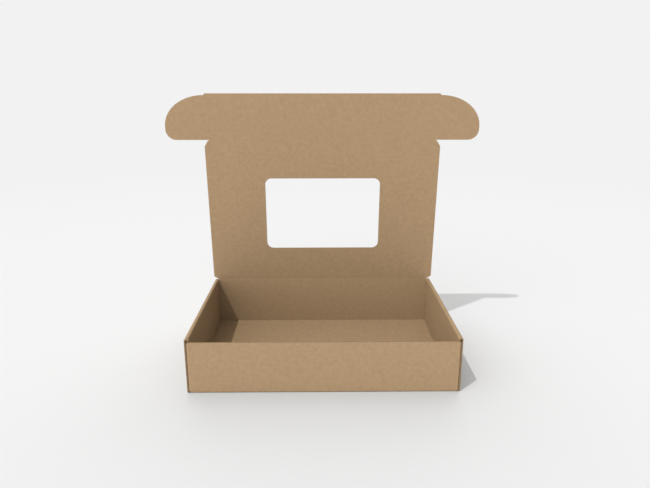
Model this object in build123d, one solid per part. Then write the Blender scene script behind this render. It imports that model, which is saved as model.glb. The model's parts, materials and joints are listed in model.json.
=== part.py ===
from build123d import *
import os

# Mailer box with a window in its lid, folded from one sheet of micro-flute board and not glued.
# Units are millimetres. The origin is on the floor under the middle of the tray, the front
# wall faces -Y, and +Z is up. The box stands open, its lid leaning a little to the front.

# Board and creases
board = 1.2
layer_gap = 0.1
crease_radius = 1.0
shoulder_radius = 0.75
fold_gap = 0.1

# Tray
box_width = 250.0
box_depth = 163.4
side_height = 53.4
front_height = 50.1
notch_clearance = 0.1
panel_clearance = 0.15

# Dust flaps, which the rolled side walls hold between their layers
dust_flap_length = 58.0
dust_flap_drop = 0.6
dust_flap_lift = 0.3
dust_corner_radius = 8.0

# Locking tabs of the inner side walls, and their slots in the base
tab_length = 24.0
tab_spacing = 84.0
tab_recess = 0.2
slot_clearance = 0.25

# Lid
lid_lean = 5.0
lid_overhang = 1.1
lid_lift = 0.1
neck_clearance = 0.3
neck_rise = 0.2
hinge_chamfer = 2.9
front_chamfer_across = 3.8
front_chamfer_along = 6.1

# Window
window_width = 125.9
window_height = 81.4
window_from_hinge = 38.0
window_corner_radius = 7.0

# Tuck flap
tuck_clearance = 0.3
tuck_length = 48.9

# Ears of the tuck flap
ear_clearance = 0.3
ear_edge_clearance = 0.2
ear_length = 45.9
ear_corner_radius = 11.0
ear_side = 2.8
ear_crown_inset = 3.9
ear_step_inset = 2.2
ear_step = 1.7

# Mid-planes of the walls
half_board = board / 2
side_x = box_width / 2 - half_board
dust_x = side_x - board - layer_gap
inner_x = dust_x - board - layer_gap
wall_y = box_depth / 2 - half_board
corner_x = dust_x - crease_radius
corner_y = wall_y - crease_radius
side_inner_face = inner_x - half_board
notch_top = front_height + notch_clearance

# Hinge of the lid, in the middle of the back wall's thickness
hinge_z = side_height + half_board + lid_lift
fold_start = half_board + fold_gap

# Outline of the lid, where Y runs up the sheet from the hinge
lid_half = box_width / 2 + lid_overhang
neck_x = side_inner_face - neck_clearance
neck_top = side_height + neck_rise - hinge_z
front_inner_face = box_depth / 2 - board
tuck_at = wall_y + front_inner_face - tuck_clearance - half_board
lid_front_half = lid_half - front_chamfer_across
window_middle = window_from_hinge + window_height / 2

# Tuck flap and ears, in the same sheet coordinates
ear_fold_x = side_inner_face - ear_clearance - half_board
tuck_start = tuck_at + fold_start
tuck_top = tuck_at + tuck_length
ear_low = tuck_at + half_board + ear_edge_clearance
ear_root = ear_fold_x + fold_start
ear_tip = ear_fold_x + ear_length
ear_crown_top = tuck_top - ear_step
ear_crown_base = ear_low + ear_corner_radius + ear_side
ear_crown_x = ear_fold_x + ear_crown_inset
ear_step_x = ear_fold_x + ear_step_inset


def board_strip(plane, points, radii, half_width):
    """Bend a strip of board along a line of points, and extrude it to both sides of its plane."""
    section = trace(FilletPolyline(*points, radius=radii), line_width=board)
    return extrude(plane * section, amount=half_width, both=True)


def rounded_edge(start, end):
    """Return the half-round edge that a crease gives the board, as a rod of the board's thickness."""
    axis = Vector(end) - Vector(start)
    return Plane(origin=start, z_dir=axis) * Cylinder(
        half_board, axis.length, align=(Align.CENTER, Align.CENTER, Align.MIN)
    )


def chamfer_line_x(height):
    """Return the lid's half-width on the slanted edge beside the hinge, at a height on the sheet."""
    slope = (lid_half - neck_x) / (hinge_chamfer - neck_top)
    return neck_x + (height - neck_top) * slope


def mirrored(points):
    """Close an outline that is given by its right half, from bottom to top."""
    return points + [(-x, y) for x, y in reversed(points)]


def front_base_back():
    """Make the front wall, base and back wall as one strip, with the crease edge for the lid."""
    line = [(-wall_y, front_height), (-wall_y, half_board), (wall_y, half_board), (wall_y, hinge_z)]
    strip = board_strip(Plane.YZ, line, [crease_radius] * 2, corner_x)
    strip += rounded_edge((-corner_x, wall_y, hinge_z), (corner_x, wall_y, hinge_z))
    # The back wall narrows to pass between the shoulders, then widens with the lid's slanted edge.
    flare = hinge_z + neck_top
    outside = [
        (neck_x, notch_top),
        (lid_half, notch_top),
        (lid_half, hinge_z + hinge_chamfer),
        (neck_x, flare),
    ]
    for side in (outside, [(-x, z) for x, z in outside]):
        face = Plane.XZ * make_face(Polyline(*side, close=True))
        strip -= Pos(0, wall_y, 0) * extrude(face, amount=board, both=True)
    return strip


def rolled_sides():
    """Make the base with both rolled side walls: outer wall, shoulder, inner wall."""
    top = side_height - half_board
    panel_foot = board + panel_clearance
    line = [(0, half_board), (side_x, half_board), (side_x, top), (inner_x, top), (inner_x, panel_foot)]
    radii = [crease_radius, shoulder_radius, shoulder_radius]
    right = board_strip(Plane.XZ, line, radii, box_depth / 2)
    strip = right + mirror(right, about=Plane.YZ)
    # At both ends only the outer wall and the shoulder reach the front and back faces.
    end = box_depth / 2 - corner_y
    room = Box(
        2 * (side_x - half_board),
        end,
        notch_top,
        align=(Align.CENTER, Align.MIN, Align.MIN),
    )
    strip -= Pos(0, corner_y, 0) * room
    strip -= Pos(0, -corner_y - end, 0) * room
    return strip


def dust_flaps(front):
    """Make the pair of dust flaps of the front wall (-1) or back wall (1), with the corner bends."""
    wall = front * wall_y
    free = wall - front * (dust_flap_length + half_board)
    line = [(-dust_x, free), (-dust_x, wall), (dust_x, wall), (dust_x, free)]
    low = board + dust_flap_lift
    high = front_height - dust_flap_drop
    pair = board_strip(Plane.XY, line, [crease_radius] * 2, (high - low) / 2)
    pair = Pos(0, 0, (high + low) / 2) * pair
    ends = pair.edges().filter_by(Axis.X).filter_by(lambda edge: abs(edge.center().Y - free) < half_board)
    return fillet(ends, dust_corner_radius)


def locking_tab(side, y):
    """Make one tab at the foot of an inner side wall, on the side of sign given."""
    height = board + panel_clearance - tab_recess
    tab = Box(board, tab_length, height, align=(Align.CENTER, Align.CENTER, Align.MIN))
    return Pos(side * inner_x, y, tab_recess) * tab


def tab_slot(side, y):
    """Make the room for one tab in the base."""
    room = Box(board + 2 * slot_clearance, tab_length + 2 * slot_clearance, 2 * board)
    return Pos(side * inner_x, y, half_board) * room


def make_tray():
    tray = front_base_back() + rolled_sides()
    tab_places = [(side, y) for side in (-1, 1) for y in (-tab_spacing / 2, tab_spacing / 2)]
    for side, y in tab_places:
        panel_foot = board + panel_clearance
        tray -= tab_slot(side, y) & Pos(0, 0, panel_foot / 2) * Box(box_width, box_depth, panel_foot)
        tray += locking_tab(side, y)
    tray += dust_flaps(-1)
    tray += dust_flaps(1)
    return tray


# The sheet of the lid: X across, Y up from the hinge, Z out of the face that ends up inside.
lean = Rot(90 + lid_lean, 0, 0)
sheet = Plane(Pos(0, wall_y, hinge_z) * lean)


def plate(outline):
    """Give a flat outline on the sheet the thickness of the board."""
    return extrude(make_face(outline), amount=half_board, both=True)


def make_lid():
    right = [
        (chamfer_line_x(fold_start), fold_start),
        (lid_half, hinge_chamfer),
        (lid_half, tuck_at - front_chamfer_along),
        (lid_front_half, tuck_at),
    ]
    lid = plate(Polyline(*mirrored(right), close=True))
    lid += rounded_edge((-lid_front_half, tuck_at, 0), (lid_front_half, tuck_at, 0))
    opening = RectangleRounded(window_width, window_height, window_corner_radius)
    lid -= Pos(0, window_middle, 0) * extrude(opening, amount=board, both=True)
    return sheet * lid


def make_tuck_flap():
    right = [(ear_fold_x, tuck_start), (ear_fold_x, tuck_top)]
    flap = plate(Polyline(*mirrored(right), close=True))
    for x in (-ear_fold_x, ear_fold_x):
        flap += rounded_edge((x, tuck_start, 0), (x, tuck_top, 0))
    return sheet * flap


def make_ear(side):
    """Make the left (-1) or right (1) ear: a straight edge, a small corner and an elliptical crown."""
    corner_centre = (ear_tip - ear_corner_radius, ear_low + ear_corner_radius)
    crown = EllipticalCenterArc(
        (ear_crown_x, ear_crown_base),
        ear_tip - ear_crown_x,
        ear_crown_top - ear_crown_base,
        start_angle=0,
        arc_size=90,
    )
    outline = [
        Line((ear_root, ear_low), (corner_centre[0], ear_low)),
        CenterArc(corner_centre, ear_corner_radius, -90, 90),
        Line((ear_tip, corner_centre[1]), (ear_tip, ear_crown_base)),
        crown,
        Polyline(
            (ear_crown_x, ear_crown_top),
            (ear_step_x, tuck_top),
            (ear_root, tuck_top),
            (ear_root, ear_low),
        ),
    ]
    ear = plate(outline)
    if side < 0:
        ear = mirror(ear, about=Plane.YZ)
    return sheet * ear


nodes = {
    "tray": make_tray(),
    "lid": make_lid(),
    "tuck_flap": make_tuck_flap(),
    "ear_left": make_ear(-1),
    "ear_right": make_ear(1),
}

os.makedirs("parts", exist_ok=True)
for name, shape in nodes.items():
    solids = shape.solids()
    export_step(solids[0] if len(solids) == 1 else Compound(children=solids), f"parts/{name}.step")
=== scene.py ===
# %% [markdown]
# This lesson dresses a mailer box. The real one is a single sheet of micro-flute board: two brown kraft
# liners with a wavy paper core between them, cut to shape, creased, and folded up without glue.
# The imported model gives every panel at its real place. Here it gets its paper surface, its open cut
# edges with the core showing, and the creases where the lid, the tuck flap and the ears fold.

# %% Load the imported box
import json
import math
import bmesh
import bpy
from mathutils import Matrix, Vector
from mathutils.bvhtree import BVHTree


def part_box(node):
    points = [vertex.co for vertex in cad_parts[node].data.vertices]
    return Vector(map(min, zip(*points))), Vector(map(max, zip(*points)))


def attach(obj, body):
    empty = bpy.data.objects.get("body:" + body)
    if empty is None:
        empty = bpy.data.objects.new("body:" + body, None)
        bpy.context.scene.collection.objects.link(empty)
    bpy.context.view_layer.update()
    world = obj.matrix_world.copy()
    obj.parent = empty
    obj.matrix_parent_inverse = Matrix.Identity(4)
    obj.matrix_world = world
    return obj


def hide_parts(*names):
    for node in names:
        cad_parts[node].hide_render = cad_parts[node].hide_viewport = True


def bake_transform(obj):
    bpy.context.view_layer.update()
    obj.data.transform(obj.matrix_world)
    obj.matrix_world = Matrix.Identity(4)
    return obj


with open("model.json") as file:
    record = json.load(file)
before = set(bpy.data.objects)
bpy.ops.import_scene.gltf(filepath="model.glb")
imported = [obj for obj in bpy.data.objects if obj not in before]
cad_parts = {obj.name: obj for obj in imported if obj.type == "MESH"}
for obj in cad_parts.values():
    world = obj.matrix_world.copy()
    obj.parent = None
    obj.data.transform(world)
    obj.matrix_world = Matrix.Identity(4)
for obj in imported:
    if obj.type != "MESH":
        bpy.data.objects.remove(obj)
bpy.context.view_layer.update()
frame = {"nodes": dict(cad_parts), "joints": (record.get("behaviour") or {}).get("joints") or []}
MM = 0.001
joints = {joint["name"]: joint for joint in frame["joints"]}
print("nodes:", sorted(frame["nodes"]))

# %% [markdown]
# The lid, the tuck flap and the ears lie in one plane, so it pays to think in that sheet's own
# coordinates: X across the box, Y up the sheet from the lid's hinge, and Z out of the face that
# ends up inside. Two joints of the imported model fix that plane, so no angle is typed in.

# %% Find the plane of the open lid
hinge = Vector(joints["lid_hinge"]["pos_m"])
tuck_fold = Vector(joints["tuck_fold"]["pos_m"])
across = Vector((1, 0, 0))
up_sheet = (tuck_fold - hinge).normalized()
inward = across.cross(up_sheet)
tuck_at = (tuck_fold - hinge).length
ear_at = joints["ear_right_fold"]["pos_m"][0]
to_sheet = Matrix((across, up_sheet, inward)).to_4x4() @ Matrix.Translation(-hinge)
from_sheet = to_sheet.inverted()


def sheet_points(node):
    """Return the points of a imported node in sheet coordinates."""
    return [to_sheet @ v.co for v in frame["nodes"][node].data.vertices]


def span(points):
    """Return the lowest and the highest coordinates among the points."""
    return [Vector([pick(p[k] for p in points) for k in range(3)]) for pick in (min, max)]


lid_points = sheet_points("lid")
lid_low, lid_high = span(lid_points)
tuck_high = span(sheet_points("tuck_flap"))[1]
ear_low = span(sheet_points("ear_right"))[0]
board = lid_high.z - lid_low.z
tray_low, tray_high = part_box("tray")
print("board", round(board / MM, 2), "mm, tuck crease", round(tuck_at / MM, 1), "mm up the sheet")

# %% [markdown]
# The camera comes first, because everything else is judged through it. Its place and lens were worked
# out from the straight edges of the photograph, where the box stands square to the view, a little
# below eye level. The picture is 650 by 488 pixels, and the focal length is written in those pixels.

# %% Place the camera
IMAGE_WIDTH = 650
FOCAL_PIXELS = 566.2
SENSOR = 36.0
CAMERA_PLACE = Vector((-4.0, -544.8, 272.4)) * MM
CAMERA_PITCH = math.radians(15.79)
CAMERA_YAW = math.radians(0.61)

camera_data = bpy.data.cameras.new("camera")
camera_data.sensor_width = SENSOR
camera_data.lens = SENSOR * FOCAL_PIXELS / IMAGE_WIDTH
camera = bpy.data.objects.new("camera", camera_data)
camera.location = CAMERA_PLACE
camera.rotation_euler = (math.pi / 2 - CAMERA_PITCH, 0, -CAMERA_YAW)
bpy.context.scene.collection.objects.link(camera)
bpy.context.scene.camera = camera
print("lens", round(camera_data.lens, 2), "mm")

# %% [markdown]
# Every material, and the light of the room, is a tree of nodes. Two helpers keep those trees short
# enough to read. The first adds a node and feeds its inputs, each with a value or with another node's
# socket. The second adds one step of arithmetic, and hands back its result.

# %% Write the helpers for node trees
def add_node(tree, kind, inputs=None, **settings):
    """Add a node, set its settings, and feed its inputs, by name or number, with values or sockets."""
    made = tree.nodes.new(kind)
    for key, value in settings.items():
        setattr(made, key, value)
    for key, value in (inputs or {}).items():
        if isinstance(value, bpy.types.NodeSocket):
            tree.links.new(value, made.inputs[key])
        else:
            made.inputs[key].default_value = value
    return made


def maths(tree, operation, *items):
    """Work on one or two sockets or numbers, and return the result's socket."""
    return add_node(tree, "ShaderNodeMath", dict(enumerate(items)), operation=operation).outputs[0]


def grey(value):
    """Return a colour without a hue."""
    return (value, value, value, 1.0)


# %% [markdown]
# One small high light from the front left draws the crisp shadow that the left wall throws on the
# base. Its slope is read off the shadows: for each unit that it falls, it moves 0.41 to the right and
# 0.41 to the back. Everything else is soft: the studio's pale walls glow near the horizon, and three
# broad panels stand behind, low in front on the left, and overhead. Most of that light comes in low,
# and low light hardly reaches the base of a box, so the inside is darker than the lid. All of it adds
# up to about 1 on a level white surface, so a colour renders about as it is written.

# %% Light the room
SUN_DIRECTION = Vector((0.41, 0.408, -1.0))
SUN_STRENGTH = 1.05
SUN_ANGLE = math.radians(1.0)
HORIZON_GLOW = 0.56
HORIZON_POWER = 3.0
# Each panel has the way to it, how narrow its light is, and its strength.
PANELS = [((0.0, 0.9, 0.4), 3.0, 1.66), ((-0.7, -0.7, 0.1), 2.0, 1.34), ((0.0, 0.0, 1.0), 2.0, 0.40)]

sun_data = bpy.data.lights.new("key_light", "SUN")
sun_data.energy = SUN_STRENGTH
sun_data.angle = SUN_ANGLE
sun = bpy.data.objects.new("key_light", sun_data)
sun.rotation_euler = SUN_DIRECTION.to_track_quat("-Z", "Y").to_euler()
bpy.context.scene.collection.objects.link(sun)
bpy.context.scene.view_settings.view_transform = "Standard"

world = bpy.data.worlds.new("room")
bpy.context.scene.world = world
world.use_nodes = True
room = world.node_tree
room.nodes.clear()
towards = add_node(room, "ShaderNodeTexCoord").outputs["Generated"]
height = add_node(room, "ShaderNodeSeparateXYZ", {0: towards}).outputs["Z"]
above = maths(room, "MAXIMUM", height, 0.0)
falling = maths(room, "POWER", maths(room, "SUBTRACT", 1.0, above), HORIZON_POWER)
light = maths(room, "MULTIPLY", falling, HORIZON_GLOW)
for direction, narrowness, strength in PANELS:
    aim = {0: towards, 1: Vector(direction).normalized()}
    facing = add_node(room, "ShaderNodeVectorMath", aim, operation="DOT_PRODUCT").outputs["Value"]
    spread = maths(room, "POWER", maths(room, "MAXIMUM", facing, 0.0), narrowness)
    light = maths(room, "ADD", light, maths(room, "MULTIPLY", spread, strength))
fill = add_node(room, "ShaderNodeBackground", {"Color": grey(1.0), "Strength": light})
print("light falls", round(math.degrees(math.asin(-SUN_DIRECTION.normalized().z))), "degrees steep")

# %% [markdown]
# Behind the box the camera sees a plain pale backdrop, whose grey is chosen apart from the light. The
# Light Path node tells the two uses of the world apart. Rays that mirror in a surface or pass through
# it show the backdrop as well, and the rays that light a matt surface get the room.

# %% Show a plain backdrop
BACKDROP_GREY = 0.888

seen = add_node(room, "ShaderNodeLightPath").outputs
camera_or_gloss = maths(room, "MAXIMUM", seen["Is Camera Ray"], seen["Is Glossy Ray"])
looked_at = maths(room, "MAXIMUM", camera_or_gloss, seen["Is Transmission Ray"])
backdrop = add_node(room, "ShaderNodeBackground", {"Color": grey(BACKDROP_GREY), "Strength": 1.0})
shown = {0: looked_at, 1: fill.outputs[0], 2: backdrop.outputs[0]}
chosen = add_node(room, "ShaderNodeMixShader", shown)
add_node(room, "ShaderNodeOutputWorld", {"Surface": chosen.outputs[0]})
print("room has", len(room.nodes), "nodes")

# %% [markdown]
# The floor is a plain pale sheet that takes the box's shadow. Far away it fades into the backdrop's
# own grey, so no horizon line shows, and the fade reads the floor's own object coordinates. Close to
# the box the real sheet is darker all round, because the box hides part of the room from it, and a
# little of that shade is added by the ambient occlusion node.

# %% Make the floor
FLOOR_SIZE = 60.0
FLOOR_GREY = 0.862
FLOOR_DROP = 0.05 * MM
FADE_START = 0.5
FADE_END = 1.5
SHADE_REACH = 0.08
SHADE_POWER = 0.08
SHADE_SAMPLES = 8


def new_material(name):
    """Make a material with an empty node tree, and return both."""
    material = bpy.data.materials.new(name)
    material.use_nodes = True
    material.node_tree.nodes.clear()
    return material, material.node_tree


floor_paint, tree = new_material("floor_paint")
place = add_node(tree, "ShaderNodeTexCoord")
away = add_node(tree, "ShaderNodeVectorMath", {0: place.outputs["Object"]}, operation="LENGTH")
fade_range = {"Value": away.outputs["Value"], "From Min": FADE_START, "From Max": FADE_END}
fade = add_node(tree, "ShaderNodeMapRange", fade_range, interpolation_type="SMOOTHSTEP")
open_sky = add_node(tree, "ShaderNodeAmbientOcclusion", {"Distance": SHADE_REACH}, samples=SHADE_SAMPLES)
shade = maths(tree, "POWER", open_sky.outputs["AO"], SHADE_POWER)
near = add_node(tree, "ShaderNodeBsdfDiffuse", {"Color": maths(tree, "MULTIPLY", shade, FLOOR_GREY)})
far = add_node(tree, "ShaderNodeEmission", {"Color": grey(BACKDROP_GREY)})
both = {0: fade.outputs["Result"], 1: near.outputs[0], 2: far.outputs[0]}
faded = add_node(tree, "ShaderNodeMixShader", both)
add_node(tree, "ShaderNodeOutputMaterial", {"Surface": faded.outputs[0]})

half = FLOOR_SIZE / 2
floor_mesh = bpy.data.meshes.new("floor")
corners = [(-half, -half), (half, -half), (half, half), (-half, half)]
floor_mesh.from_pydata([(x, y, -FLOOR_DROP) for x, y in corners], [], [(0, 1, 2, 3)])
floor_mesh.materials.append(floor_paint)
floor = bpy.data.objects.new("floor", floor_mesh)
bpy.context.scene.collection.objects.link(floor)
print("floor", FLOOR_SIZE, "m wide")

# %% [markdown]
# Kraft paper looks plain from a step away, but it isn't flat brown: the pulp clouds a little, short
# fibres lie in all directions, and dark flecks are left over from the bark. One node group makes all
# three from noise on object coordinates, and every paper finish of the box uses it with the strengths
# that suit it. It puts out a colour and a height, so the same fibres that show also catch the light.

# %% Build the shader group for kraft pulp
# Each layer of noise has its scale and its detail, which is how many finer layers are laid over it.
CLOUD_NOISE = (45.0, 3.0)
MOTTLE_NOISE = (260.0, 2.0)
FLECK_NOISE = (1300.0, 1.5)
FIBRE_NOISE = (3600.0, 1.0)
NOISE_ROUGHNESS = 0.6
NOISE_MIDDLE = 0.5
FLECK_RARITY = (0.70, 0.80)
FIBRE_LENGTH = 7.0
FIBRE_TURNS = [(0.2, 0.5, 0.0), (0.1, 1.3, 0.3), (1.3, 0.2, 0.9), (-0.6, -0.7, 0.4)]
LINER_BROWN = (0.466, 0.315, 0.180, 1.0)
LINER_LOOK = {"Clouds": 0.05, "Mottle": 0.30, "Fibres": 0.30, "Flecks": 0.30}


def group_tree(name, kind, inputs, outputs):
    """Make a node group from lists of sockets: a name, a type, and for inputs a default."""
    group = bpy.data.node_groups.new(name, kind)
    for label, socket_type, value in inputs:
        socket = group.interface.new_socket(name=label, in_out="INPUT", socket_type=socket_type)
        if value is not None:
            socket.default_value = value
    for label, socket_type in outputs:
        group.interface.new_socket(name=label, in_out="OUTPUT", socket_type=socket_type)
    return group, add_node(group, "NodeGroupInput").outputs


pulp_inputs = [("Paper", "NodeSocketColor", LINER_BROWN)]
pulp_inputs += [(label, "NodeSocketFloat", value) for label, value in LINER_LOOK.items()]
pulp_outputs = [("Color", "NodeSocketColor"), ("Height", "NodeSocketFloat")]
pulp, given = group_tree("kraft_pulp", "ShaderNodeTree", pulp_inputs, pulp_outputs)
on_piece = add_node(pulp, "ShaderNodeTexCoord").outputs["Object"]


def noise(scale, detail, vector=on_piece):
    """Add a layer of noise to the pulp, and return its value's socket."""
    inputs = {"Vector": vector, "Scale": scale, "Detail": detail, "Roughness": NOISE_ROUGHNESS}
    return add_node(pulp, "ShaderNodeTexNoise", inputs).outputs["Fac"]


threads = []
for turn in FIBRE_TURNS:
    lie = {"Vector": on_piece, "Rotation": turn, "Scale": (1.0, 1.0, FIBRE_LENGTH)}
    laid = add_node(pulp, "ShaderNodeMapping", lie, vector_type="TEXTURE").outputs["Vector"]
    threads.append(noise(*FIBRE_NOISE, laid))
fibre = threads[0]
for thread in threads[1:]:
    fibre = maths(pulp, "MAXIMUM", fibre, thread)
rarity = {"Value": noise(*FLECK_NOISE), "From Min": FLECK_RARITY[0], "From Max": FLECK_RARITY[1]}
fleck = add_node(pulp, "ShaderNodeMapRange", rarity).outputs["Result"]

tone = 1.0
layers = {"Clouds": noise(*CLOUD_NOISE), "Mottle": noise(*MOTTLE_NOISE), "Fibres": fibre}
for label, source in layers.items():
    swing = maths(pulp, "SUBTRACT", source, NOISE_MIDDLE)
    tone = maths(pulp, "ADD", tone, maths(pulp, "MULTIPLY", swing, given[label]))
tone = maths(pulp, "SUBTRACT", tone, maths(pulp, "MULTIPLY", fleck, given["Flecks"]))
tint = add_node(pulp, "ShaderNodeVectorMath", {0: given["Paper"], "Scale": tone}, operation="SCALE")
add_node(pulp, "NodeGroupOutput", {"Color": tint.outputs["Vector"], "Height": fibre})
print("kraft_pulp has", len(pulp.nodes), "nodes")

# %% [markdown]
# The core of the board is a wavy paper, and where the liner is glued to its crests it shows through as
# a faint washboard. The waves run from front to back over the sheet, so on the base, the lid and the
# front the ridges are counted along X. The side walls are turned up, and there they are counted
# along Z. A second group makes that ripple, and the face's own normal picks the direction.

# %% Build the shader group for the washboard ripple
FLUTE_PITCH = 3.2 * MM
SIDEWAYS = 0.7


def sine_wave(tree, distance, pitch):
    """Return the socket of a wave that swings once between 1 and -1 in each pitch."""
    turns = maths(tree, "DIVIDE", distance, pitch)
    return maths(tree, "SINE", maths(tree, "MULTIPLY", turns, 2 * math.pi))


ripple_inputs = [("Pitch", "NodeSocketFloat", FLUTE_PITCH)]
ripple, given = group_tree("washboard", "ShaderNodeTree", ripple_inputs, [("Height", "NodeSocketFloat")])
place = add_node(ripple, "ShaderNodeTexCoord").outputs
split = add_node(ripple, "ShaderNodeSeparateXYZ", {0: place["Object"]}).outputs
turned = add_node(ripple, "ShaderNodeSeparateXYZ", {0: place["Normal"]}).outputs["X"]
is_side = maths(ripple, "GREATER_THAN", maths(ripple, "ABSOLUTE", turned), SIDEWAYS)
counted = {"Factor": is_side, "A": split["X"], "B": split["Z"]}
run = add_node(ripple, "ShaderNodeMix", counted, data_type="FLOAT").outputs["Result"]
add_node(ripple, "NodeGroupOutput", {"Height": sine_wave(ripple, run, given["Pitch"])})
print("flute pitch", round(FLUTE_PITCH / MM, 1), "mm")

# %% [markdown]
# Four paper finishes come out of the two groups. The liner is the face of the board. The paper edge is
# the liner cut through, rougher but of the same brown. The core is the wavy paper seen from its end,
# and the hollow behind it is sunk into the board and painted a darker brown, as painted shade for the
# depth between the liners. All are matt: raw kraft has no coat.
#
# In the photograph the panels hardly tint each other, and the inside of the tray stays as tan as its
# front. Real light would pick up more brown each time it goes from wall to wall. So the Light Path node
# swaps in a greyer, darker paper for rays that have already left another surface. The camera itself
# never sees that paper.

# %% Mix the paper finishes
CORE_BROWN = (0.43, 0.29, 0.166, 1.0)
# The hollow's darker brown is painted shade. The channel is a real shallow recess, and this colour adds
# the shade deep between the liners.
HOLLOW_SHADE_BROWN = (0.30, 0.20, 0.113, 1.0)
BOUNCE_BROWN = (0.31, 0.26, 0.195, 1.0)
CUT_LOOK = {"Clouds": 0.10, "Mottle": 0.30, "Fibres": 0.40, "Flecks": 0.10}
PAPER_ROUGHNESS = 0.9
PAPER_GLOSS = 0.2
LINER_FIBRE_HEIGHT = 0.012 * MM
EDGE_FIBRE_HEIGHT = 0.03 * MM
CORE_FIBRE_HEIGHT = 0.02 * MM
RIPPLE_HEIGHT = 0.006 * MM
# A Mix node has sockets of one name for each kind of data, so those for colours are given by number.
MIX_FIRST, MIX_SECOND, MIX_RESULT = 6, 7, 2


def paper(name, colour, look, fibre_height, ripple_height=0.0):
    """Make a matt paper finish. Heights are in metres."""
    material, tree = new_material(name)
    skin = add_node(tree, "ShaderNodeGroup", {"Paper": colour, **look}, node_tree=pulp).outputs
    bounced = add_node(tree, "ShaderNodeLightPath").outputs["Is Diffuse Ray"]
    swap = {"Factor": bounced, MIX_FIRST: skin["Color"], MIX_SECOND: BOUNCE_BROWN}
    met = add_node(tree, "ShaderNodeMix", swap, data_type="RGBA").outputs[MIX_RESULT]
    relief = {"Distance": fibre_height, "Strength": 1.0, "Height": skin["Height"]}
    if ripple_height:
        washboard = add_node(tree, "ShaderNodeGroup", {"Pitch": FLUTE_PITCH}, node_tree=ripple)
        swell = {"Distance": ripple_height, "Strength": 1.0, "Height": washboard.outputs["Height"]}
        relief["Normal"] = add_node(tree, "ShaderNodeBump", swell).outputs["Normal"]
    bump = add_node(tree, "ShaderNodeBump", relief).outputs["Normal"]
    surface = {"Base Color": met, "Normal": bump,
               "Roughness": PAPER_ROUGHNESS, "Specular IOR Level": PAPER_GLOSS}
    shader = add_node(tree, "ShaderNodeBsdfPrincipled", surface)
    add_node(tree, "ShaderNodeOutputMaterial", {"Surface": shader.outputs[0]})
    return material


liner = paper("kraft_liner", LINER_BROWN, LINER_LOOK, LINER_FIBRE_HEIGHT, RIPPLE_HEIGHT)
paper_edge = paper("cut_paper_edge", LINER_BROWN, CUT_LOOK, EDGE_FIBRE_HEIGHT)
core = paper("fluted_core", CORE_BROWN, CUT_LOOK, CORE_FIBRE_HEIGHT)
# The hollow finish is painted shade, laid on the sunk faces of each cut edge.
hollow_shade = paper("hollow_between_liners", HOLLOW_SHADE_BROWN, CUT_LOOK, CORE_FIBRE_HEIGHT)
finishes = [liner, paper_edge, hollow_shade]
LINER, EDGE, HOLLOW = range(3)
print("finishes:", [m.name for m in finishes + [core]])

# %% [markdown]
# Now the board itself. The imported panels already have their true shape, so each piece starts as a
# welded copy of its node. A liner is a face with just one board's thickness behind it, and any face
# with more behind it is a cut edge: one ray into the material tells them apart, on flat walls and
# bends alike. Where a crease will carry on from a panel, the copy is trimmed back and capped.

# %% Copy a panel and tell its liners from its cut edges
WELD = 0.001 * MM
CUT_TOLERANCE = WELD / 10
RAY_START = 0.01 * MM
THICK_ENOUGH = 1.5
FLAT = math.radians(0.3)


def welded_copy(node):
    """Copy a node's mesh, weld it, mark its cut edges, and merge its flat triangles."""
    made = bmesh.new()
    made.from_mesh(frame["nodes"][node].data)
    bmesh.ops.remove_doubles(made, verts=made.verts, dist=WELD)
    bmesh.ops.dissolve_degenerate(made, edges=made.edges, dist=WELD)
    made.normal_update()
    solid = BVHTree.FromBMesh(made)
    for face in made.faces:
        start = face.calc_center_median() - face.normal * RAY_START
        depth = solid.ray_cast(start, -face.normal)[3]
        face.material_index = EDGE if depth is None or depth > THICK_ENOUGH * board else LINER
    bmesh.ops.dissolve_limit(made, angle_limit=FLAT, verts=made.verts, edges=made.edges,
                             delimit={"MATERIAL"})
    return made


def trim(shape, point, direction, faces=None):
    """Cut off what lies past a plane, and close the cut with one cap, marked as hollow."""
    faces = list(faces or shape.faces)
    edges = list({edge for face in faces for edge in face.edges})
    verts = list({vert for face in faces for vert in face.verts})
    cut = bmesh.ops.bisect_plane(shape, geom=verts + edges + faces, plane_co=point, plane_no=direction,
                                 dist=CUT_TOLERANCE, clear_outer=True)
    rim = [item for item in cut["geom_cut"] if isinstance(item, bmesh.types.BMEdge)]
    for cap in bmesh.ops.contextual_create(shape, geom=rim)["faces"]:
        cap.normal_update()
        if cap.normal.dot(direction) < 0:
            cap.normal_flip()
        cap.material_index = HOLLOW


def faces_of(shape, finish):
    """Return the faces of a shape that have one finish."""
    return [face for face in shape.faces if face.material_index == finish]


# %% [markdown]
# At a cut edge the two liners end as thin lines, and between them one looks into the board. So each cut
# face is sunk below its rim, and the rim that stays is one liner thick. The rim can't be found by
# measuring inwards from the edge of a face, because that goes wrong at sharp corners. Each point of
# it moves straight into the board instead, against the normal of the liner that it belongs to.

# %% Open the cut edges
LINER_THICKNESS = 0.2 * MM
CHANNEL_DEPTH = 0.22 * MM
SAME_WAY = 0.9999
SHARPEST = 0.5


def corner_move(normals):
    """Return the move that goes one unit along each of the normals that meet at a corner."""
    kept = []
    for normal in normals:
        if all(normal.dot(other) < SAME_WAY for other in kept):
            kept.append(normal.copy())
    if not kept:
        return Vector()
    total = sum(kept, Vector())
    return total / max(min(total.dot(normal) for normal in kept), SHARPEST)


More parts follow.
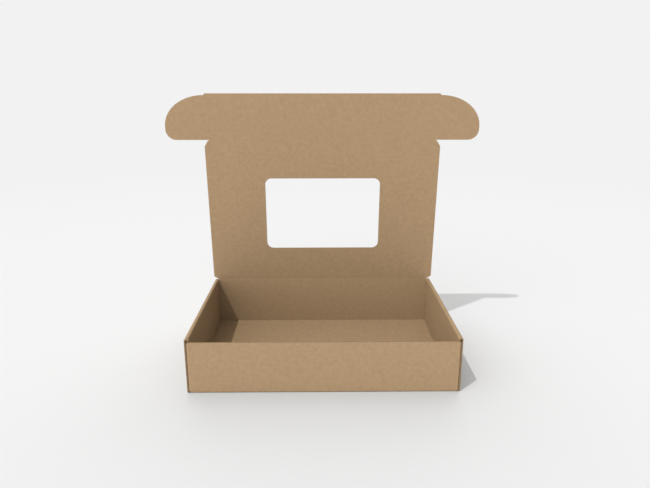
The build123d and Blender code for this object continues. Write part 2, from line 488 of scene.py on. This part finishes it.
def open_edges(shape, faces, caps):
    """Turn cut faces into a channel between two liner edges. Caps close its ends."""
    cut, ends = set(faces), set(caps)
    rim, deep = {}, {}
    for vert in {vert for face in faces for vert in face.verts}:
        liners = [face.normal for face in vert.link_faces if face not in cut and face not in ends]
        sunk = corner_move([face.normal for face in vert.link_faces if face in cut]) * CHANNEL_DEPTH
        rim[vert] = shape.verts.new(vert.co - corner_move(liners) * LINER_THICKNESS)
        deep[vert] = shape.verts.new(rim[vert].co - sunk)
    # The sunk faces and the channel's walls get the hollow finish, which is painted shade.
    added = []
    for face in faces:
        added.append(([deep[vert] for vert in face.verts], HOLLOW))
        for loop in face.loops:
            a, b = loop.vert, loop.link_loop_next.vert
            others = [other for other in loop.edge.link_faces if other is not face]
            if others and others[0] not in cut and others[0] not in ends:
                added.append(([a, b, rim[b], rim[a]], EDGE))
                added.append(([rim[a], rim[b], deep[b], deep[a]], HOLLOW))
    for face in caps:
        ring = []
        for loop in face.loops:
            a, b = loop.vert, loop.link_loop_next.vert
            ring.append(a)
            if any(other in cut for other in loop.edge.link_faces):
                ring += [rim[a], deep[a], deep[b], rim[b]]
        if len(ring) > len(face.verts):
            added.append((ring, HOLLOW))
            faces = faces + [face]
    for ring, finish in added:
        shape.faces.new(ring).material_index = finish
    bmesh.ops.delete(shape, geom=faces, context="FACES")
    loose = [vert for vert in shape.verts if not vert.link_faces]
    bmesh.ops.delete(shape, geom=loose, context="VERTS")


# %% [markdown]
# The wavy core is drawn later, and it needs a line to follow: the middle of each cut edge. That line is
# easiest to find before the edge is opened. It starts where the inner liner meets the cut faces, and
# lies half a board below that liner and a little below the cut.

# %% Follow the middle of the cut edges
CORE_DEPTH = 0.09 * MM
core_lines = {}


def core_line(shape, faces, is_inner, run_of):
    """Follow the middle of the cut edges, from where the inner liner meets them.

    Returns points, edges, the direction across the board at each point, and the length run there."""
    cut = set(faces)
    edges, normals = [], {}
    for edge in shape.edges:
        if len(edge.link_faces) != 2:
            continue
        liner_face, cut_face = sorted(edge.link_faces, key=lambda face: face in cut)
        if cut_face not in cut or liner_face in cut or not is_inner(liner_face, edge):
            continue
        for vert in edge.verts:
            liners, cuts = normals.setdefault(vert, (Vector(), Vector()))
            liners += liner_face.normal
            cuts += cut_face.normal
        edges.append(tuple(edge.verts))
    number = {vert: k for k, vert in enumerate(normals)}
    points, directions, runs = [], [], []
    for vert, (liners, cuts) in normals.items():
        outwards = liners.normalized()
        points.append(vert.co - outwards * board / 2 - cuts.normalized() * CORE_DEPTH)
        directions.append(outwards)
        runs.append(run_of(vert.co))
    return points, [(number[a], number[b]) for a, b in edges], directions, runs


def finish_piece(shape, name):
    """Turn a bmesh into an object in the scene, with the finishes of the board."""
    shape.normal_update()
    mesh = bpy.data.meshes.new(name)
    shape.to_mesh(mesh)
    shape.free()
    for material in finishes:
        mesh.materials.append(material)
    made = bpy.data.objects.new(name, mesh)
    bpy.context.scene.collection.objects.link(made)
    return made


# %% [markdown]
# Five panels are made this way: the lid, the tuck flap, the two ears, and last the folded tray. The lid
# is trimmed at both its creases, the tuck flap at three sides, and each ear at one.

# %% Make the lid, the tuck flap and the ears
CREASE_HALF = 2.0 * MM
FACING = 0.9


def sheet_point(x, y):
    """Return the place in the room of a point in the middle of the sheet."""
    return from_sheet @ Vector((x, y, 0))


def sheet_run(place):
    """Measure across the sheet, the way along which the waves are counted."""
    return (to_sheet @ place).x


def faces_inward(face, edge):
    """Pick liners on the face of the sheet that ends up inside."""
    return face.normal.dot(inward) > FACING


TRIMS = {
    "lid": [(sheet_point(0, CREASE_HALF), -up_sheet), (sheet_point(0, tuck_at - CREASE_HALF), up_sheet)],
    "tuck_flap": [
        (sheet_point(0, tuck_at + CREASE_HALF), -up_sheet),
        (sheet_point(ear_at - CREASE_HALF, 0), across),
        (sheet_point(CREASE_HALF - ear_at, 0), -across),
    ],
    "ear_left": [(sheet_point(-ear_at - CREASE_HALF, 0), across)],
    "ear_right": [(sheet_point(ear_at + CREASE_HALF, 0), -across)],
}

for node, planes in TRIMS.items():
    shape = welded_copy(node)
    for point, direction in planes:
        trim(shape, point, direction)
    cut = faces_of(shape, EDGE)
    core_lines[node] = core_line(shape, cut, faces_inward, sheet_run)
    open_edges(shape, cut, faces_of(shape, HOLLOW))
    piece = finish_piece(shape, node.replace("_flap", "") + "_board")
    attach(piece, node)
    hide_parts(node)
    print(piece.name, len(piece.data.polygons), "faces")

# %% [markdown]
# The tray is the same work on a busier shape. Its trim only touches the narrow neck of the back wall,
# just under the lid's hinge and between the two shoulders. The core is drawn where a cut edge is open
# to view: the top of the front wall, and both ends of each rolled side wall, where the sheet climbs,
# turns over the shoulder and drops inside.

# %% Make the tray
LAYER_GAP = 0.1 * MM
MARGIN = 0.2 * MM
TOUCHING = 10 * WELD
FRONT_STRIP = 4 * MM

layer = board + LAYER_GAP
outer_face = tray_high.x
slot_out = outer_face - board + MARGIN
slot_in = outer_face - board - layer - MARGIN
front_inside = tray_low.y + board
tray_points = [v.co for v in frame["nodes"]["tray"].data.vertices]
shoulder_top = max(p.z for p in tray_points if p.y < 0)
neck_points = [p for p in tray_points if p.y > hinge.y - board and p.z > shoulder_top]
neck_half = min(abs(p.x) for p in neck_points if abs(p.x) > outer_face / 2)
neck_turn = min(p.z for p in neck_points if abs(abs(p.x) - neck_half) < TOUCHING) - hinge.z
neck_line = hinge.z - CREASE_HALF


def in_neck(place):
    """Tell whether a place is on the part of the back wall that the crease takes over."""
    return place.z > neck_line and place.y > hinge.y - board and abs(place.x) < neck_half + TOUCHING


def faces_the_layers(face, edge):
    """Pick liners that face the front wall's inside, or the gap in a rolled wall."""
    middle = (edge.verts[0].co + edge.verts[1].co) / 2
    in_gap = slot_in < abs(middle.x) < slot_out
    at_end = abs(middle.y) > tray_high.y - MARGIN
    on_front = middle.y < front_inside + MARGIN and face.normal.y > FACING
    return (in_gap and at_end) or (on_front and middle.z > shoulder_top - FRONT_STRIP)


def tray_run(place):
    """Measure along the sheet: across the front wall, or up and over a rolled side wall."""
    if abs(place.x) < slot_in or abs(place.y) < tray_high.y - MARGIN:
        return place.x
    reach = outer_face - board - abs(place.x)
    under = shoulder_top - board
    return place.z + reach if reach < layer / 2 else 2 * under - place.z + reach


shape = welded_copy("tray")
neck = [face for face in shape.faces if any(in_neck(v.co) for v in face.verts)]
trim(shape, Vector((0, 0, neck_line)), Vector((0, 0, 1)), neck)
cut = faces_of(shape, EDGE)
core_lines["tray"] = core_line(shape, cut, faces_the_layers, tray_run)
open_edges(shape, cut, faces_of(shape, HOLLOW))
tray = finish_piece(shape, "tray_board")
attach(tray, "tray")
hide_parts("tray")
print("tray", len(tray.data.polygons), "faces, core line points", len(core_lines["tray"][0]))

# %% [markdown]
# A crease is the same board, crushed along a line so that it bends there and nowhere else. Each one is
# a short strip across the joint. It lies along the panel before it at one side and the panel after it at
# the other.
# The tool that pressed it left a groove on the outside, and one on the inside that is so shallow that
# the photograph hardly shows it.

# %% Press the creases
CREASE_STEPS = 16
INSIDE_GROOVE = 0.05 * MM
OUTSIDE_GROOVE = 0.3 * MM
GROOVE_WIDTH = 0.7 * MM


def span_at(outline, place):
    """Read a list of (place, reach) pairs at one place, straight between its points."""
    for (a, low), (b, high) in zip(outline, outline[1:]):
        if a <= place <= b:
            return low + (high - low) * (place - a) / (b - a)
    return outline[-1][1] if place > outline[-1][0] else outline[0][1]


def crease(name, lows, highs, to_place, body_a, body_b):
    """Make a strip of board across a fold.

    lows and highs give, for each place across the fold, where the strip starts and ends along it.
    to_place turns a place across the fold, one along it and a depth into a point in the room."""
    steps = {-CREASE_HALF + 2 * CREASE_HALF * i / CREASE_STEPS for i in range(CREASE_STEPS + 1)}
    steps |= {place for place, reach in lows + highs}
    shape = bmesh.new()
    rings = []
    for place in sorted(steps):
        press = math.exp(-((place / GROOVE_WIDTH) ** 2))
        inside = board / 2 - INSIDE_GROOVE * press
        outside = OUTSIDE_GROOVE * press - board / 2
        upper, under = inside - LINER_THICKNESS, outside + LINER_THICKNESS
        start, end = span_at(lows, place), span_at(highs, place)
        start_sunk, end_sunk = start + CHANNEL_DEPTH, end - CHANNEL_DEPTH
        section = [(start, inside), (start, upper), (start_sunk, upper),
                   (start_sunk, under), (start, under), (start, outside),
                   (end, outside), (end, under), (end_sunk, under),
                   (end_sunk, upper), (end, upper), (end, inside)]
        rings.append([shape.verts.new(to_place(place, along, depth)) for along, depth in section])
    # The channel's faces get the hollow finish, which is painted shade.
    around = [EDGE, HOLLOW, HOLLOW, HOLLOW, EDGE, LINER] * 2
    for a, b in zip(rings, rings[1:]):
        for k, finish in enumerate(around):
            after = (k + 1) % len(around)
            shape.faces.new((a[k], a[after], b[after], b[k])).material_index = finish
    for ring in (rings[0], rings[-1]):
        shape.faces.new(ring).material_index = HOLLOW
    bmesh.ops.recalc_face_normals(shape, faces=shape.faces)
    piece = finish_piece(shape, name)
    middle = to_place(0, 0, 0)
    way = (to_place(CREASE_HALF, 0, 0) - to_place(-CREASE_HALF, 0, 0)).normalized() * CREASE_HALF
    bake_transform(piece)


# %% [markdown]
# The lid's crease starts between the shoulders and widens with the slanted corners of the lid. That
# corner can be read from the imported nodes: the neck's width from the tray, the slant from the lid.

# %% Crease the lid to the back wall
lid_start = min(p.y for p in lid_points)
start_half = max(p.x for p in lid_points if p.y < lid_start + TOUCHING)
slant = (start_half - neck_half) / (lid_start - neck_turn)
hinge_half = [(-CREASE_HALF, neck_half), (neck_turn, neck_half),
              (CREASE_HALF, neck_half + slant * (CREASE_HALF - neck_turn))]


def other_side(outline):
    """Mirror a list of (place, reach) pairs to the left side."""
    return [(place, -reach) for place, reach in outline]


def hinge_place(up, along, depth):
    """Stand the strip straight with the wall below the hinge, and lean it with the lid above."""
    if up >= 0:
        return from_sheet @ Vector((along, up, depth))
    return hinge + Vector((along, -depth, up))


crease("lid_crease", other_side(hinge_half), hinge_half, hinge_place, "tray", "lid")
print("neck half", round(neck_half / MM, 2), "turn", round(neck_turn / MM, 2), "slant", round(slant, 2))

# %% [markdown]
# Up to the fold, the tuck flap's crease is as wide as the front of the lid with its slanted corners.
# Just past the fold it only spans the flap and the roots of the ears. Where an ear begins, the ear's
# own crease takes its place beside it.

# %% Crease the tuck flap and its ears
CORNER_STEP = 0.2 * MM
ROOT_STEP = 0.05 * MM

front_half = max(p.x for p in lid_points if p.y > tuck_at - WELD)
corner_up = max(p.y for p in lid_points if abs(p.x - lid_high.x) < TOUCHING)
front_slant = (lid_high.x - front_half) / (tuck_at - corner_up)
ear_edge = ear_low.y - tuck_at
root_half = ear_at + board / 2 + LAYER_GAP
tuck_half = [
    (-CREASE_HALF, front_half + front_slant * CREASE_HALF),
    (0, front_half),
    (CORNER_STEP, root_half),
    (ear_edge - ROOT_STEP, root_half),
    (ear_edge, ear_at - CREASE_HALF),
    (CREASE_HALF, ear_at - CREASE_HALF),
]


def tuck_place(up, along, depth):
    """Place the strip of the tuck flap, which runs up the sheet from its fold."""
    return from_sheet @ Vector((along, tuck_at + up, depth))


crease("tuck_crease", other_side(tuck_half), tuck_half, tuck_place, "lid", "tuck_flap")

ear_ends = [[(-CREASE_HALF, end), (CREASE_HALF, end)] for end in (ear_low.y, tuck_high.y)]
for side, body in ((-1, "ear_left"), (1, "ear_right")):
    def ear_place(out, along, depth, side=side):
        """Place the strip of an ear, which runs outwards from its fold."""
        return from_sheet @ Vector((side * (ear_at + out), along, depth))

    crease(body + "_crease", *ear_ends, ear_place, "tuck_flap", body)

# %% [markdown]
# The core is what makes corrugated board what it is, and it repeats hundreds of times round the sheet,
# so Geometry Nodes draw it. The waves stand across the sheet like the ridges of a washboard. A cut
# edge at right angles to them shows full waves, and a cut along them shows a straight line. One rule
# gives both: at each point of the edge, the core lies at the sine of how far across the sheet it is.
# The tree gets the middle lines that were followed above, with that distance stored on each point.

# %% Build the tree that draws the core
CORE_PAPER = 0.17 * MM
CORE_STEP = 0.3 * MM
CORE_SIDES = 5
wave_height = board / 2 - LINER_THICKNESS - CORE_PAPER / 2

core_sockets = [
    ("Geometry", "NodeSocketGeometry", None), ("Pitch", "NodeSocketFloat", FLUTE_PITCH),
    ("Wave height", "NodeSocketFloat", wave_height), ("Paper", "NodeSocketFloat", CORE_PAPER),
    ("Step", "NodeSocketFloat", CORE_STEP), ("Sides", "NodeSocketInt", CORE_SIDES),
    ("Finish", "NodeSocketMaterial", None),
]
core_out = [("Geometry", "NodeSocketGeometry")]
core_tree, given = group_tree("fluted_core", "GeometryNodeTree", core_sockets, core_out)
line = add_node(core_tree, "GeometryNodeMeshToCurve", {"Mesh": given["Geometry"]})
stepped = {"Curve": line.outputs["Curve"], "Length": given["Step"]}
even = add_node(core_tree, "GeometryNodeResampleCurve", stepped, mode="LENGTH")
run = add_node(core_tree, "GeometryNodeInputNamedAttribute", {"Name": "run"}, data_type="FLOAT")
over = add_node(core_tree, "GeometryNodeInputNamedAttribute", {"Name": "over"}, data_type="FLOAT_VECTOR")
wave = sine_wave(core_tree, run.outputs["Attribute"], given["Pitch"])
rise = maths(core_tree, "MULTIPLY", wave, given["Wave height"])
lift = {0: over.outputs["Attribute"], "Scale": rise}
shift = add_node(core_tree, "ShaderNodeVectorMath", lift, operation="SCALE")
waved = {"Geometry": even.outputs["Curve"], "Offset": shift.outputs["Vector"]}
move = add_node(core_tree, "GeometryNodeSetPosition", waved)
round_size = {"Resolution": given["Sides"], "Radius": maths(core_tree, "MULTIPLY", given["Paper"], 0.5)}
ring = add_node(core_tree, "GeometryNodeCurvePrimitiveCircle", round_size)
swept = {"Curve": move.outputs["Geometry"], "Profile Curve": ring.outputs["Curve"], "Fill Caps": True}
skin = add_node(core_tree, "GeometryNodeCurveToMesh", swept)
real = add_node(core_tree, "GeometryNodeRealizeInstances", {"Geometry": skin.outputs["Mesh"]})
painted = {"Geometry": real.outputs["Geometry"], "Material": given["Finish"]}
paint = add_node(core_tree, "GeometryNodeSetMaterial", painted)
add_node(core_tree, "NodeGroupOutput", {"Geometry": paint.outputs["Geometry"]})
print("core tree has", len(core_tree.nodes), "nodes")

# %% Draw the core along the edges that show
sockets = core_tree.interface.items_tree
core_ids = {socket.name: socket.identifier for socket in sockets if socket.in_out == "INPUT"}
core_values = {"Pitch": FLUTE_PITCH, "Wave height": wave_height, "Paper": CORE_PAPER,
               "Step": CORE_STEP, "Sides": CORE_SIDES, "Finish": core}


def draw_core(node):
    """Run the tree on the core line of one node, and keep the result as a piece."""
    points, edges, directions, runs = core_lines[node]
    guide = bpy.data.meshes.new("guide")
    guide.from_pydata(points, edges, [])
    guide.attributes.new("run", "FLOAT", "POINT").data.foreach_set("value", runs)
    flat = [part for direction in directions for part in direction]
    guide.attributes.new("over", "FLOAT_VECTOR", "POINT").data.foreach_set("vector", flat)
    holder = bpy.data.objects.new("guide", guide)
    bpy.context.scene.collection.objects.link(holder)
    worker = holder.modifiers.new("core", "NODES")
    worker.node_group = core_tree
    for label, value in core_values.items():
        worker[core_ids[label]] = value
    bpy.context.view_layer.update()
    ready = holder.evaluated_get(bpy.context.evaluated_depsgraph_get())
    mesh = bpy.data.meshes.new_from_object(ready)
    bpy.data.objects.remove(holder)
    mesh.name = node.replace("_flap", "") + "_core"
    piece = bpy.data.objects.new(mesh.name, mesh)
    bpy.context.scene.collection.objects.link(piece)
    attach(piece, node)
    print(piece.name, len(mesh.polygons), "faces")


for node in core_lines:
    draw_core(node)
